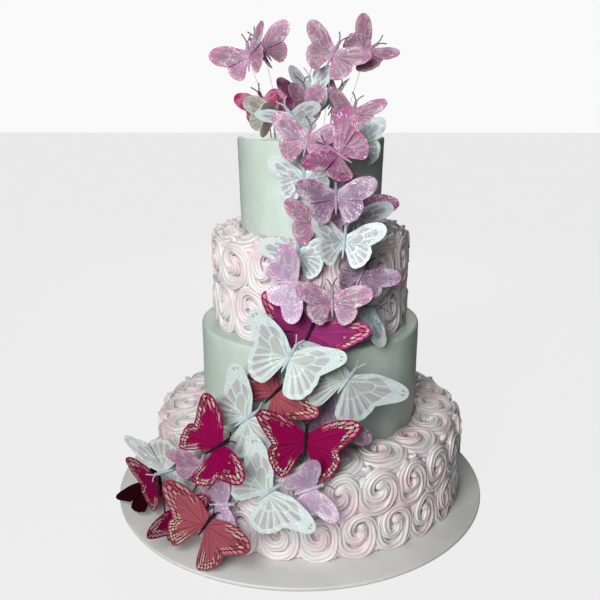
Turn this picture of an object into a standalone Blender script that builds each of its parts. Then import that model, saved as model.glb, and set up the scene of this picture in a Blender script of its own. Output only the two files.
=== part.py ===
"""A four-tier wedding cake on its round board, with a cascade of craft butterflies.

Two tiers are coated smooth and two are covered in piped rosettes. The frame has +Z up and
its origin at the centre of the board's underside. -Y is the front, where the cascade runs.
"""

import math
import random

import bmesh
import bpy
from mathutils import Matrix, Vector
from mathutils.bvhtree import BVHTree

MM = 0.001
GAP = 0.3 * MM

# The board and the four tiers. A piped tier's top is the bare icing under its rosettes.
BOARD_RADIUS = 215 * MM
BOARD_THICKNESS = 4 * MM
CAKE_OFFSET_X = 11.5 * MM
TIER_TOPS = [96 * MM, 206 * MM, 305 * MM, 407 * MM]
WIDE_PIPED_WALL = 167 * MM
WIDE_SMOOTH_RADIUS = 123 * MM
SMALL_PIPED_WALL = 99 * MM
TOP_SMOOTH_RADIUS = 78.5 * MM
TOP_TIER_TAPER = 2.5 * MM
ICING_EDGE = 3 * MM
ROUND_STEPS = 52
BOARD_STEPS = 68

# Piped rosettes, each in its own cell of the icing: how many go round a wall row and the ledge
# above it, and the bearing of the first one of the lowest row and of the ledge, in degrees
WIDE_ROSETTES = (27, 3.3, 19, 29.3)
SMALL_ROSETTES = (16, -36.4, 18, -21.8)
ROSETTE_LIFT = 9.5 * MM
LEDGE_LIFT = 8 * MM
GROOVE_DEPTH = 4.5 * MM
VALLEY_MIDDLE = 1.5 * MM
LEDGE_OVERHANG = 4 * MM
LEDGE_CLEARANCE = 1 * MM
ROW_SPLIT = 0.53
CELL_SWAY = 0.16
UPPER_FAVOUR = 0.9
SWIRL_SIDES = 8
SWIRL_REACH = 0.88
SWIRL_CURVE = 0.75
SWIRL_CORNERS = 0.14
GROOVE_START = 5
# The direction, in eighths of a turn from the right, in which the end of a rope can point
SWIRL_STARTS = [2, 3, 3, 4]
UNEVENNESS = 0.06
ICING_SEED = 7

# Butterflies. One side's outline, from the front root of the wings round to the back root, in
# fractions of the half span, measured from the middle of the body across and towards the head.
WING_THICKNESS = 0.9 * MM
WINGS = {
    "small": [
        (0.04, 0.18),
        (0.46, 0.46),
        (0.82, 0.52),
        (0.98, 0.38),
        (0.90, 0.16),
        (0.64, -0.03),
        (0.66, -0.24),
        (0.50, -0.50),
        (0.22, -0.56),
        (0.03, -0.16),
    ],
    "large": [
        (0.04, 0.15),
        (0.30, 0.36),
        (0.60, 0.47),
        (0.93, 0.50),
        (1.00, 0.31),
        (0.67, -0.07),
        (0.64, -0.35),
        (0.49, -0.58),
        (0.19, -0.61),
        (0.03, -0.16),
    ],
    "feather": [
        (0.04, 0.18),
        (0.36, 0.41),
        (0.70, 0.53),
        (0.93, 0.53),
        (0.97, 0.36),
        (0.64, -0.09),
        (0.70, -0.26),
        (0.56, -0.56),
        (0.32, -0.68),
        (0.03, -0.14),
    ],
}
TIP_CURL = 0.07
# The hindwings sit a little under the forewings, from these fractions outwards and backwards
HINDWING_DROP = 0.05
HINDWING_OUT = 0.1
HINDWING_BACK = -0.1
# A swept wing swings most where it points straight out, and not at all this many degrees off
SWEEP_REACH = 85

# Body length and half thickness for each kind
BODIES = {
    "small": (31 * MM, 1.9 * MM),
    "large": (31 * MM, 2.1 * MM),
    "feather": (29 * MM, 1.9 * MM),
}
PICK_RADIUS = 0.8 * MM
PICK_SIDES = 3
PICK_PLACE = 0.2
PICK_FEELERS = 8
# A butterfly on top of the cake leans its pick inwards by this share of its distance out,
# against a drop of this much
CROWN_LEAN = 0.3
CROWN_DROP = 100 * MM
LONGEST_PICK = 20 * MM
WIRE_RADIUS = 0.8 * MM
WIRE_SIDES = 6
WIRE_FOOT_SPREAD = 0.55
WIRE_CLEARANCE = 0.7 * MM

# How each butterfly sits on the cake. Angles are in degrees: around the cake from the front
# towards +X, the way its back faces and how far it tips up, and the head's heading clockwise
# from upright. Distances are in mm: out from the cake's axis, and up from the table.
# name: kind, colour, around, out, up, faces, tips, heading, left lift, right lift, span
CASCADE = {
    "flying_1": ("small", "pink", -61.2, 71.7, 486.3, 0, 20, -4, 5, 52, 74),
    "flying_2": ("small", "pink", -92, 50, 496, 10, 15, -33, 60, 5, 72),
    "flying_3": ("small", "pink", 45, 31, 489, 0, 12, 29, 8, 10, 76),
    "flying_4": ("small", "pink", 90, 57, 493, 10, -5, 57, 5, 52, 72),
    "crown_1": ("small", "magenta", -59, 55, 440, 9, -14, -26, 36, 51, 76),
    "crown_2": ("small", "purple", -147.2, 39.7, 443, 0, 10, -75, 40, 60, 74),
    "crown_3": ("small", "ivory", -38.7, 57.8, 430.5, -48.9, -2.4, 32.7, 70, 66, 76),
    "crown_4": ("small", "white", -177.5, 11.4, 455, -1, 7, -6, 50, 46, 76),
    "crown_5": ("small", "pink", -17.0, 21.8, 447.2, 5, -15, -9, 58, 54, 72),
    "crown_6": ("small", "pink", 54, 53, 431, 5, 30, 16, 20, 22, 70),
    "crown_7": ("small", "silver", 94, 26, 448, -35, 25, 20, 10, 42, 76),
    "crown_8": ("small", "white", -12.8, 80.5, 429.9, -5, 40, -34, 14, -24, 70),
    "upper_1": ("small", "pink", -2, 98, 408, -5, 15, 12, 12, 25, 76),
    "upper_2": ("small", "hot", 11.7, 125.3, 398.4, 10, 20, -54, 20, 15, 80),
    "upper_3": ("small", "silver", 28, 89, 402, 20, 15, -12, 20, 35, 74),
    "upper_4": ("small", "white", -4, 88, 371, -8, 8, -3, 12, 15, 76),
    "upper_5": ("small", "mauve", 9.7, 137.5, 360, 8, 12, 1, 12, 25, 78),
    "upper_6": ("small", "hot", 33, 91, 349, 20, 15, 35, 20, 15, 74),
    "upper_7": ("small", "pink", 3.9, 107.6, 330.8, -5, 20, 5, 25, 15, 76),
    "middle_1": ("small", "white", 14, 131, 317, 8, 15, 8, 23, 22, 80),
    "middle_2": ("small", "white", 26, 100, 335, 20, 20, 15, 20, 15, 74),
    "middle_3": ("small", "white", -6.1, 111.9, 300.7, -8, 8, 0, 10, 10, 76),
    "middle_4": ("small", "lilac", -8, 129, 278, -10, 12, 90, 20, 12, 76),
    "middle_5": ("small", "pink", 9, 134, 261, 6, 12, 0, 12, 12, 76),
    "middle_6": ("small", "mauve", 24, 121, 281, 22, 15, 33, 20, 15, 76),
    "middle_7": ("small", "silver", 29.8, 116.4, 246, 30, 8, 96, 20, 15, 80),
    "middle_8": ("feather", "purple", 0, 123, 227, -2, 22, 25, 6, 8, 110),
    "lower_1": ("large", "white", -7.5, 151.4, 210, -8, 20, 26, 12, 12, 106),
    "lower_2": ("large", "white", 13.3, 154.2, 187.7, 10, 10, 38, -10, 10, 110),
    "lower_3": ("feather", "coral", -15, 135, 165, -14, 15, 42, 15, 15, 98),
    "lower_4": ("large", "white", -22.7, 160.4, 146.1, -18, 25, 50, 14, -2, 102),
    "lower_5": ("feather", "magenta", -27.4, 191.8, 126.6, -22, 25, 54, 14, 22, 98),
    "lower_6": ("feather", "magenta", -1.2, 172, 134, 0, 20, 5, 10, 10, 101),
    "lower_7": ("large", "white", -12.1, 188.5, 86.5, -16, 14, 50, 4, 4, 104),
    "lower_8": ("small", "lilac", 0, 187, 92, 0, 10, 70, 25, 10, 74),
    "lower_9": ("small", "pink", -34.3, 190.1, 100, -31, 2, 20, 40, 25, 70),
    "lower_10": ("small", "lilac", -26.8, 189, 63.8, -25, 10, 75, 20, 20, 70),
    "lower_11": ("large", "white", -50.1, 196.4, 74.4, -22, -20, -119, 12, -19, 104),
    "lower_12": ("feather", "magenta", -53.7, 196.7, 52.6, -32, 1, -8, -6, 42, 96),
    "lower_13": ("feather", "coral", -29.7, 202.7, 46.3, -22, 20, 30, 12, 12, 108),
    "lower_14": ("feather", "magenta", -41.1, 197.1, 44.7, 3, -17, -20, 50, 16, 86),
    "lower_15": ("small", "mauve", 11, 131, 132, 5, 20, 50, 15, 15, 78),
    "lower_16": ("feather", "magenta", -66.2, 195.5, 33.4, -63, 14, -81, 35, -14, 84),
}
# How far a few of them swing their left and right wings forward, in degrees
SWEEPS = {
    "flying_1": (-24, 14),
    "flying_2": (-20, -12),
    "flying_4": (0, 18),
    "upper_2": (8, 0),
    "upper_4": (8, 8),
    "upper_5": (-10, -5),
    "middle_3": (-8, 0),
    "middle_4": (-32, -18),
    "middle_5": (0, -12),
    "middle_7": (0, -10),
    "middle_8": (-14, 0),
    "lower_1": (0, 6),
    "lower_2": (-26, 0),
    "lower_5": (-8, -5),
    "lower_6": (0, -4),
    "lower_13": (-20, -5),
    "crown_1": (16, -9),
    "crown_3": (-4, 7),
    "crown_5": (10, -6),
    "crown_8": (0, -11),
    "crown_4": (9, 0),
    "lower_9": (-6, -2),
    "lower_14": (-9, 3),
    "lower_11": (-24, 9),
}
FLYING = ["flying_1", "flying_2", "flying_3", "flying_4"]
CROWN_PREFIX = "crown"

ROUGHNESS = {"board": 0.6, "smooth": 0.45, "wire": 0.3}
PLAIN_ROUGHNESS = 0.5
COLOURS = {
    "board": (0.80, 0.80, 0.79),
    "smooth": (0.62, 0.74, 0.67),
    "rosette": (0.85, 0.74, 0.77),
    "pink": (0.78, 0.36, 0.58),
    "hot": (0.72, 0.18, 0.46),
    "magenta": (0.45, 0.01, 0.16),
    "purple": (0.30, 0.03, 0.22),
    "coral": (0.60, 0.10, 0.16),
    "mauve": (0.46, 0.24, 0.42),
    "lilac": (0.68, 0.45, 0.66),
    "white": (0.76, 0.83, 0.82),
    "silver": (0.40, 0.48, 0.50),
    "ivory": (0.60, 0.57, 0.50),
    "wire": (0.75, 0.76, 0.76),
}


def clear_scene():
    for obj in list(bpy.data.objects):
        bpy.data.objects.remove(obj)


def material(name):
    found = bpy.data.materials.get(name)
    if found:
        return found
    made = bpy.data.materials.new(name)
    made.use_nodes = True
    shader = made.node_tree.nodes["Principled BSDF"]
    shader.inputs["Base Color"].default_value = (*COLOURS[name], 1.0)
    shader.inputs["Roughness"].default_value = ROUGHNESS.get(name, PLAIN_ROUGHNESS)
    return made


def mesh_object(name, bm, look, collection=None):
    bmesh.ops.recalc_face_normals(bm, faces=bm.faces)
    mesh = bpy.data.meshes.new(name)
    bm.to_mesh(mesh)
    bm.free()
    mesh.materials.append(material(look))
    obj = bpy.data.objects.new(name, mesh)
    (collection or bpy.context.scene.collection).objects.link(obj)
    return obj


def around_cake(degrees, out, up):
    """The point at this angle from the front, this far out from the cake's axis."""
    angle = math.radians(degrees)
    return Vector((CAKE_OFFSET_X + out * math.sin(angle), -out * math.cos(angle), up))


def turned(bm, profile, steps):
    """A closed solid of revolution about the cake's axis, from (radius, height) points."""
    rings = []
    for radius, height in profile:
        rings.append([bm.verts.new(around_cake(360 * i / steps, radius, height)) for i in range(steps)])
    for lower, upper in zip(rings, rings[1:]):
        for i in range(steps):
            j = (i + 1) % steps
            bm.faces.new((lower[i], lower[j], upper[j], upper[i]))
    bm.faces.new(list(reversed(rings[0])))
    bm.faces.new(rings[-1])


def board():
    bm = bmesh.new()
    bmesh.ops.create_cone(
        bm, cap_ends=True, segments=BOARD_STEPS, radius1=BOARD_RADIUS, radius2=BOARD_RADIUS,
        depth=BOARD_THICKNESS, matrix=Matrix.Translation((0, 0, BOARD_THICKNESS / 2)),
    )
    return mesh_object("cake_board", bm, "board")


def smooth_tier(name, bottom, top, radius, taper=0.0):
    """A drum of smooth icing with a softened top edge, narrower at the foot by the taper."""
    edge = ICING_EDGE * math.sin(math.pi / 4)
    bm = bmesh.new()
    profile = [
        (radius - taper, bottom),
        (radius, top - ICING_EDGE),
        (radius - ICING_EDGE + edge, top - ICING_EDGE + edge),
        (radius - ICING_EDGE, top),
    ]
    turned(bm, profile, ROUND_STEPS)
    return mesh_object(name, bm, "smooth")


def rosette(bm, rim, place, lift, start):
    """A rope of icing wound clockwise out to the rim, as a crest with a groove beside it.

    rim holds the cell's eight shared points, anticlockwise from the right. place takes a point
    of the cell (across, along, height), with its sides at -1 and 1, to a point in space.
    """
    n = SWIRL_SIDES

    def reach(k):
        return SWIRL_REACH * (k / (2 * n)) ** SWIRL_CURVE

    def point(out, k, height):
        angle = 2 * math.pi * (start - k) / n
        fuller = out * (1 + SWIRL_CORNERS * abs(math.sin(2 * angle)))
        return bm.verts.new(place(fuller * math.cos(angle), fuller * math.sin(angle), height))

    crest = [point(reach(k), k, lift) for k in range(2 * n + 1)]
    groove = {}
    for k in range(GROOVE_START, 2 * n + 1):
        groove[k] = point((reach(k) + reach(max(k - n, 0))) / 2, k, lift - GROOVE_DEPTH)
    edge = {k: rim[(start - k) % n] for k in range(n + 1, 2 * n + 1)}

    for k in range(1, GROOVE_START):
        bm.faces.new((crest[0], crest[k], crest[k + 1]))
    bm.faces.new((crest[0], crest[GROOVE_START], groove[GROOVE_START]))
    for k in range(GROOVE_START, 2 * n):
        before, after = crest[max(k - n, 0)], crest[max(k - n + 1, 0)]
        bm.faces.new(list(dict.fromkeys((before, groove[k], groove[k + 1], after))))
        bm.faces.new((groove[k], crest[k], crest[k + 1], groove[k + 1]))
    for k in range(n + 1, 2 * n):
        bm.faces.new((crest[k], edge[k], edge[k + 1], crest[k + 1]))
    bm.faces.new((crest[n], groove[2 * n], crest[2 * n], edge[2 * n], edge[n + 1], crest[n + 1]))


def swaying_loop(bm, count, first, radius, height, sway_out=0.0, sway_up=0.0):
    """A closed loop of two points for each cell, which sways between the cells' centres."""
    loop = []
    for j in range(2 * count):
        push = 1 if j % 2 == 0 else -1
        out, up = radius + push * sway_out, height + push * sway_up
        loop.append(bm.verts.new(around_cake(first + 180 * j / count, out, up)))
    return loop


def ring_of_rosettes(bm, rng, count, first, lower, upper, offset, lift, place_at):
    """Fills the band between two loops with rosettes.

    offset is 0 where the loops' even points face the cells' centres and 1 where the odd ones do.
    place_at takes (degrees, along, height) to a point in space.
    """
    def side_point(k):
        return bm.verts.new(place_at(first + 360 * (k - 0.5) / count, 0, VALLEY_MIDDLE))

    sides = [side_point(k) for k in range(count)]
    points = 2 * count
    for k in range(count):
        c = 2 * k + offset
        left, right = (c - 1) % points, (c + 1) % points
        rim = [
            sides[(k + 1) % count], upper[right], upper[c], upper[left],
            sides[k], lower[left], lower[c], lower[right],
        ]
        centre = first + 360 * k / count
        shift = rng.uniform(-1, 1) * UNEVENNESS

        def place(across, along, height, centre=centre, shift=shift):
            return place_at(centre + (across + shift) * 180 / count, along + shift, height)

        uneven_lift = lift * rng.uniform(1 - UNEVENNESS, 1 + UNEVENNESS)
        rosette(bm, rim, place, uneven_lift, rng.choice(SWIRL_STARTS))


def bearing(vert):
    return math.atan2(vert.co.x - CAKE_OFFSET_X, -vert.co.y) % (2 * math.pi)


def zip_loops(bm, lower, upper):
    """Joins two loops round the cake, of any two counts, with triangles.

    Each step takes the shorter of its two diagonals, with the upper loop favoured a little, so
    that no triangle reaches over a point of the lower loop and cuts through the rosette there.
    """
    a, b = sorted(lower, key=bearing), sorted(upper, key=bearing)
    i = j = 0
    while i < len(a) or j < len(b):
        a_now, a_next = a[i % len(a)], a[(i + 1) % len(a)]
        b_now, b_next = b[j % len(b)], b[(j + 1) % len(b)]
        along_lower = (a_next.co - b_now.co).length
        along_upper = (b_next.co - a_now.co).length * UPPER_FAVOUR
        if i < len(a) and (j >= len(b) or along_lower < along_upper):
            bm.faces.new((a_now, a_next, b_now))
            i += 1
        else:
            bm.faces.new((a_now, b_next, b_now))
            j += 1


def piped_tier(name, bottom, top, wall, next_radius, rosettes):
    """A drum with two rows of rosettes on its wall and one on the ledge round the next tier."""
    rng = random.Random(ICING_SEED)
    count, first, ledge_count, ledge_first = rosettes
    middle = bottom + ROW_SPLIT * (top - bottom)
    sway = CELL_SWAY * (top - bottom) / 2
    bm = bmesh.new()
    base_loop = swaying_loop(bm, count, first, wall + VALLEY_MIDDLE, bottom)
    middle_loop = swaying_loop(bm, count, first, wall, middle, sway_up=sway)
    top_loop = swaying_loop(bm, count, first, wall, top - sway, sway_up=-sway)

    def on_wall(centre, half):
        def place_at(degrees, along, height):
            return around_cake(degrees, wall + height, centre + along * half)
        return place_at

    upper_first = first + 180 / count
    lower_row = on_wall((bottom + middle) / 2, (middle - bottom) / 2)
    upper_row = on_wall((middle + top - sway) / 2, (top - sway - middle) / 2)
    ring_of_rosettes(bm, rng, count, first, base_loop, middle_loop, 0, ROSETTE_LIFT, lower_row)
    ring_of_rosettes(bm, rng, count, upper_first, middle_loop, top_loop, 1, ROSETTE_LIFT, upper_row)

    inner, outer = next_radius + LEDGE_CLEARANCE, wall + LEDGE_OVERHANG
    ledge_sway = CELL_SWAY * (outer - inner) / 2
    outer_loop = swaying_loop(
        bm, ledge_count, ledge_first, outer - ledge_sway, top, sway_out=ledge_sway,
    )
    inner_loop = swaying_loop(bm, ledge_count, ledge_first, inner, top)

    def on_ledge(degrees, along, height):
        out = (outer - ledge_sway + inner) / 2 - along * (outer - ledge_sway - inner) / 2
        return around_cake(degrees, out, top + height)

    ring_of_rosettes(bm, rng, ledge_count, ledge_first, outer_loop, inner_loop, 0, LEDGE_LIFT, on_ledge)
    zip_loops(bm, top_loop, outer_loop)
    bm.faces.new(base_loop)
    bm.faces.new(inner_loop)
    bmesh.ops.triangulate(bm, faces=bm.faces)
    return mesh_object(name, bm, "rosette")


def join(obj, blobs):
    """Unites the collection's objects with obj, applies it, and removes them."""
    union = obj.modifiers.new("union", "BOOLEAN")
    union.operation = "UNION"
    union.operand_type = "COLLECTION"
    union.collection = blobs
    union.solver = "MANIFOLD"
    apply_modifiers(obj)
    for blob in list(blobs.objects):
        bpy.data.objects.remove(blob)
    bpy.data.collections.remove(blobs)


def apply_modifiers(obj):
    graph = bpy.context.evaluated_depsgraph_get()
    mesh = bpy.data.meshes.new_from_object(obj.evaluated_get(graph))
    obj.modifiers.clear()
    obj.data = mesh


def swept(x, y, sweep):
    """A point of the outline with the wing swung forward by sweep degrees, least at its roots."""
    bearing = math.degrees(math.atan2(y, x))
    fade = 1 - (bearing / SWEEP_REACH) ** 2
    swung = math.radians(bearing + sweep * fade)
    reach = math.hypot(x, y)
    return reach * math.cos(swung), reach * math.sin(swung)


def both_faces(point):
    """The points of a plate's upper and under face on either side of this point."""
    half_thickness = Vector((0, 0, WING_THICKNESS / 2))
    return point + half_thickness, point - half_thickness


def wing_points(kind, half_span, lift, sweep, side):
    """One side's outline on both faces, with that wing lifted off the flat by lift degrees."""
    tilt = Matrix.Rotation(-side * math.radians(lift), 3, "Y")
    pairs = []
    for flat_x, flat_y in WINGS[kind]:
        x, y = swept(flat_x, flat_y, sweep)
        drop = HINDWING_DROP if y < HINDWING_BACK and x > HINDWING_OUT else 0.0
        middle = Vector((side * x, y, TIP_CURL * x * x - drop)) * half_span
        # The thickness turns with the wing, so that a wing held upright is as thick as a flat one
        pairs.append([tilt @ point for point in both_faces(middle)])
    return pairs


def rod(bm, start, end, radius, sides):
    """Adds a straight rod with flat ends."""
    axis = end - start
    turn = axis.to_track_quat("Z", "Y").to_matrix().to_4x4()
    middle = Matrix.Translation((start + end) / 2)
    bmesh.ops.create_cone(
        bm, cap_ends=True, segments=sides, radius1=radius, radius2=radius, depth=axis.length,
        matrix=middle @ turn,
    )


def plate(bm, outline, hub_height):
    """A thin closed plate: both faces fan out from a raised hub to the outline's points."""
    top = [bm.verts.new(upper) for upper, _ in outline]
    under = [bm.verts.new(lower) for _, lower in outline]
    top_hub = bm.verts.new((0, 0, hub_height))
    under_hub = bm.verts.new((0, 0, -hub_height))
    for i in range(len(outline)):
        j = (i + 1) % len(outline)
        bm.faces.new((top_hub, top[i], top[j]))
        bm.faces.new((under_hub, under[j], under[i]))
        bm.faces.new((top[i], under[i], under[j], top[j]))


def pose_matrix(around, out, up, faces, tips, heading):
    """Turns a butterfly that lies flat with its head towards +Y to its place on the cake."""
    face, tip, head = (math.radians(a) for a in (faces, tips, heading))
    back = Vector((math.sin(face) * math.cos(tip), -math.cos(face) * math.cos(tip), math.sin(tip)))
    upright = (Vector((0, 0, 1)) - back * back.z).normalized()
    forward = math.cos(head) * upright + math.sin(head) * upright.cross(back)
    across = forward.cross(back)
    turn = Matrix((across, forward, back)).transposed().to_4x4()
    return Matrix.Translation(around_cake(around, out * MM, up * MM)) @ turn


def pick_end(start, name, surfaces):
    """Where the pick that starts here under a butterfly meets the icing, just short of it."""
    inwards = around_cake(0, 0, start.z) - start
    if name.startswith(CROWN_PREFIX):
        inwards = Vector((inwards.x * CROWN_LEAN, inwards.y * CROWN_LEAN, -CROWN_DROP))
    inwards.normalize()
    side = inwards.orthogonal().normalized() * PICK_RADIUS
    feelers = [start]
    for k in range(PICK_FEELERS):
        feelers.append(start + Matrix.Rotation(2 * math.pi * k / PICK_FEELERS, 3, inwards) @ side)
    hits = [tree.ray_cast(point, inwards)[3] for tree in surfaces for point in feelers]
    reach = min((h for h in hits if h is not None), default=LONGEST_PICK)
    return start + inwards * (reach - GAP)


def butterfly(name, surfaces):
    """One craft butterfly: its body with two pairs of wings, and the pick that holds it."""
    kind, look, around, out, up, faces, tips, heading, left, right, span = CASCADE[name]
    pose = pose_matrix(around, out, up, faces, tips, heading)
    length, thickness = BODIES[kind]
    sweep_left, sweep_right = SWEEPS.get(name, (0, 0))
    left_wing = wing_points(kind, span * MM / 2, left, sweep_left, -1)
    right_wing = wing_points(kind, span * MM / 2, right, sweep_right, 1)
    head = Vector((0, length / 2, 0))
    outline = [both_faces(head), *right_wing, both_faces(-head), *reversed(left_wing)]
    bm = bmesh.new()
    plate(bm, outline, thickness)
    bmesh.ops.triangulate(bm, faces=bm.faces)
    made = mesh_object(name, bm, look)
    if name not in FLYING:
        parts = bpy.data.collections.new(name + "_parts")
        bpy.context.scene.collection.children.link(parts)
        bm = bmesh.new()
        start = Vector((0, -length * PICK_PLACE, 0))
        end = pose.inverted() @ pick_end(pose @ start, name, surfaces)
        rod(bm, start, end, PICK_RADIUS, PICK_SIDES)
        mesh_object(name + "_pick", bm, look, collection=parts)
        join(made, parts)
    made.data.transform(pose)
    return made


def flying_wire(name):
    """The thin wire that carries a flying butterfly, from the icing up to its body."""
    kind, _, around, out, up, faces, tips, heading, _, _, _ = CASCADE[name]
    pose = pose_matrix(around, out, up, faces, tips, heading)
    top = pose @ Vector((0, 0, -BODIES[kind][1] - WIRE_CLEARANCE))
    foot = around_cake(around, out * MM * WIRE_FOOT_SPREAD, TIER_TOPS[3] + GAP)
    bm = bmesh.new()
    rod(bm, foot, top, WIRE_RADIUS, WIRE_SIDES)
    return mesh_object("wire_" + name, bm, "wire")


def main():
    clear_scene()
    board()
    first, second, third, fourth = TIER_TOPS
    tiers = [
        piped_tier(
            "tier_1_rosettes", BOARD_THICKNESS + GAP, first, WIDE_PIPED_WALL,
            WIDE_SMOOTH_RADIUS, WIDE_ROSETTES,
        ),
        smooth_tier("tier_2_smooth", first + GAP, second, WIDE_SMOOTH_RADIUS),
        piped_tier(
            "tier_3_rosettes", second + GAP, third, SMALL_PIPED_WALL,
            TOP_SMOOTH_RADIUS, SMALL_ROSETTES,
        ),
        smooth_tier("tier_4_smooth", third + GAP, fourth, TOP_SMOOTH_RADIUS, TOP_TIER_TAPER),
    ]
    surfaces = [BVHTree.FromObject(t, bpy.context.evaluated_depsgraph_get()) for t in tiers]
    for name in CASCADE:
        butterfly(name, surfaces)
    for name in FLYING:
        flying_wire(name)


main()
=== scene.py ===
"""The looks of the four-tier wedding cake: piped and smooth icing, the board and the butterflies."""

import math
import random

import bpy
import numpy as np
from mathutils import Matrix, Vector, noise
from mathutils.bvhtree import BVHTree


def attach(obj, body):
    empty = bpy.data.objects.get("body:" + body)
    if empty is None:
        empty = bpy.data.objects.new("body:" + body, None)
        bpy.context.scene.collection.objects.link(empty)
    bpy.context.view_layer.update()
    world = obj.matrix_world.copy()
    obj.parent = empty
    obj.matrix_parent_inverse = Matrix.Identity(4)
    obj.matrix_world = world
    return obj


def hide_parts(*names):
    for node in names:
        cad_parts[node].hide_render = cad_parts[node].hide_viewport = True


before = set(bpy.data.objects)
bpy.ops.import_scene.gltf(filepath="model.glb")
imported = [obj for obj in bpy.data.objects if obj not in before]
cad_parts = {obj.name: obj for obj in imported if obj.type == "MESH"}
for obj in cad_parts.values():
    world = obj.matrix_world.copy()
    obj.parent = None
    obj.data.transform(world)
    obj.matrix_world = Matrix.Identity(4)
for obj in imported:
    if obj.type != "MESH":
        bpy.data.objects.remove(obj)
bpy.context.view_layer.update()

MM = 0.001

# The construction's own sizes
BOARD_RADIUS = 215 * MM
BOARD_THICKNESS = 4 * MM
CAKE_OFFSET_X = 11.5 * MM
TIER_TOPS = [96 * MM, 206 * MM, 305 * MM, 407 * MM]
WIDE_PIPED_WALL = 167 * MM
WIDE_SMOOTH_RADIUS = 123 * MM
SMALL_PIPED_WALL = 99 * MM
TOP_SMOOTH_RADIUS = 78.5 * MM
TOP_TIER_TAPER = 2.5 * MM
GAP = 0.3 * MM
WIDE_ROSETTES = (27, 3.3, 19, 29.3)
SMALL_ROSETTES = (16, -36.4, 18, -21.8)
ROSETTE_LIFT = 9.5 * MM
LEDGE_LIFT = 8 * MM
LEDGE_OVERHANG = 4 * MM
LEDGE_CLEARANCE = 1 * MM
ROW_SPLIT = 0.53
CELL_SWAY = 0.16
TIP_CURL = 0.07
HINDWING_DROP = 0.05
SWEEP_REACH = 85
PICK_PLACE = 0.2
CROWN_LEAN = 0.3
CROWN_DROP = 100 * MM
LONGEST_PICK = 20 * MM
WIRE_FOOT_SPREAD = 0.55

# One side's outline of each kind, from the front root round to the back root
WINGS = {
    "small": [
        (0.04, 0.18), (0.46, 0.46), (0.82, 0.52), (0.98, 0.38), (0.90, 0.16),
        (0.64, -0.03), (0.66, -0.24), (0.50, -0.50), (0.22, -0.56), (0.03, -0.16),
    ],
    "large": [
        (0.04, 0.15), (0.30, 0.36), (0.60, 0.47), (0.93, 0.50), (1.00, 0.31),
        (0.67, -0.07), (0.64, -0.35), (0.49, -0.58), (0.19, -0.61), (0.03, -0.16),
    ],
    "feather": [
        (0.04, 0.18), (0.36, 0.41), (0.70, 0.53), (0.93, 0.53), (0.97, 0.36),
        (0.64, -0.09), (0.70, -0.26), (0.56, -0.56), (0.32, -0.68), (0.03, -0.14),
    ],
}
NOTCH = 5
BODIES = {"small": (31 * MM, 1.9 * MM), "large": (31 * MM, 2.1 * MM), "feather": (29 * MM, 1.9 * MM)}

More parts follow.
